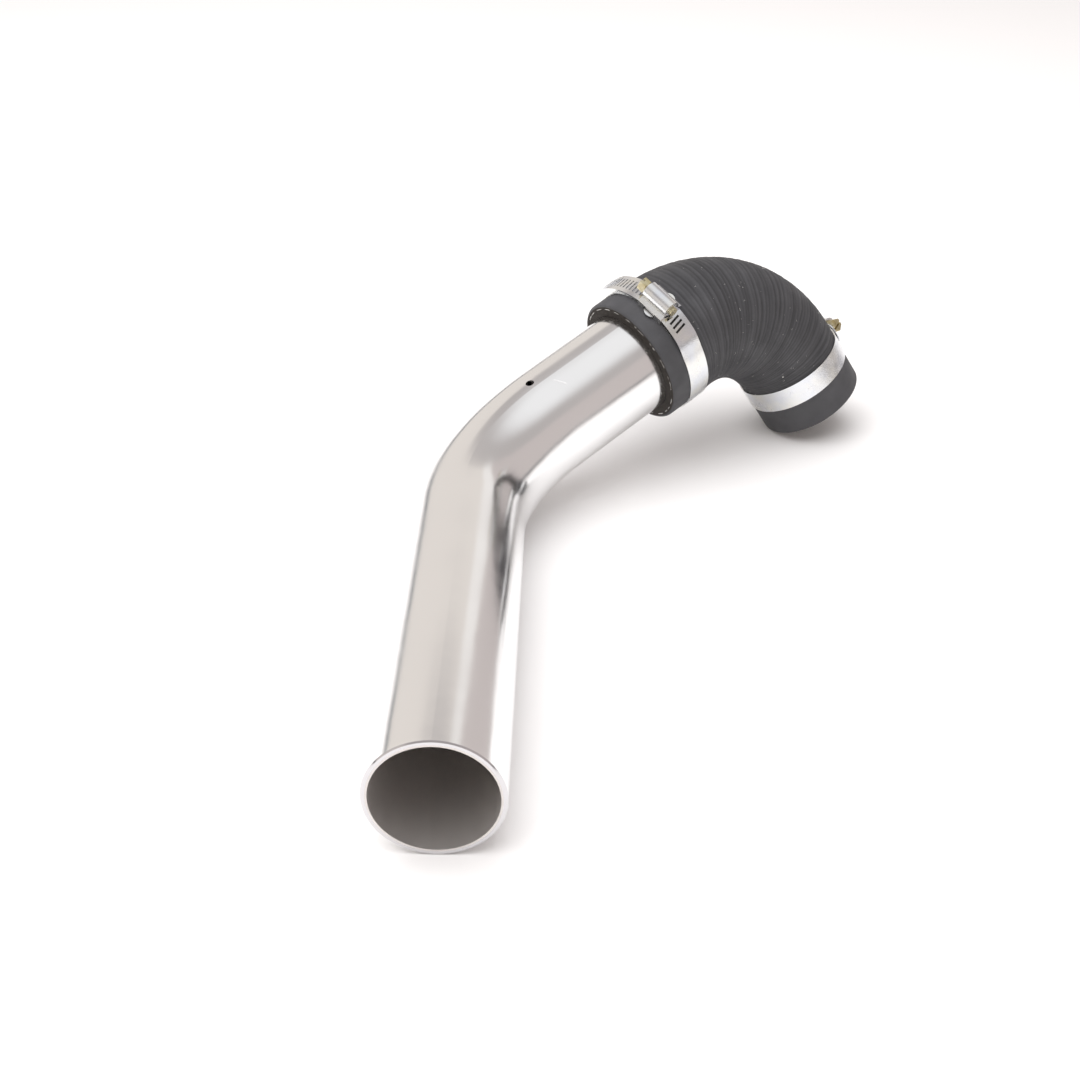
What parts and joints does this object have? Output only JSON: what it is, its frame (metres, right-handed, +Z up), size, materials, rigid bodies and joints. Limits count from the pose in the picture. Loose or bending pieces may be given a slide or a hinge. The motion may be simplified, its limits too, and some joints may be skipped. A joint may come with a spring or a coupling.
{
  "type": "car air intake",
  "caption": "Bent polished aluminium intake tube with a wrapped rubber reducing elbow, held and closed by worm-drive hose clamps, lying on the floor.",
  "frame": {"origin": "centre of the tube's open inlet end face", "axes": "the inlet leg runs along +Y, so the inlet faces -Y; +Z is up as the part lies on the floor at z = -31.75 mm; +X is the side that the tube bends to"},
  "size_m": [0.2706, 0.4488, 0.1261],
  "materials": {
    "polished_tube": "polished",
    "wrapped_rubber": "matte, cloth-wrapped",
    "clamp_steel": "bright zinc plated",
    "yellow_zinc": "yellow zinc plated"
  },
  "bodies": {
    "duct": {"intake_tube": "polished_tube", "elbow_hose": "wrapped_rubber", "tube_clamp_band": "clamp_steel", "tube_clamp_saddle": "clamp_steel", "tube_clamp_housing": "clamp_steel", "outlet_clamp_band": "clamp_steel", "outlet_clamp_saddle": "clamp_steel", "outlet_clamp_housing": "clamp_steel"},
    "tube_clamp_screw": {"tube_clamp_screw": "yellow_zinc"},
    "outlet_clamp_screw": {"outlet_clamp_screw": "yellow_zinc"}
  },
  "joints": [
    {"name": "tube_clamp_screw_turn", "type": "hinge", "parent": "duct", "child": "tube_clamp_screw", "pos_m": [0.10686, 0.33773, 0.08402], "axis": [-0.6663, 0.6287, 0.401], "continuous": true},
    {"name": "outlet_clamp_screw_turn", "type": "hinge", "parent": "duct", "child": "outlet_clamp_screw", "pos_m": [0.21665, 0.43866, 0.02243], "axis": [0.6845, -0.6148, 0.3917], "continuous": true}
  ]
}
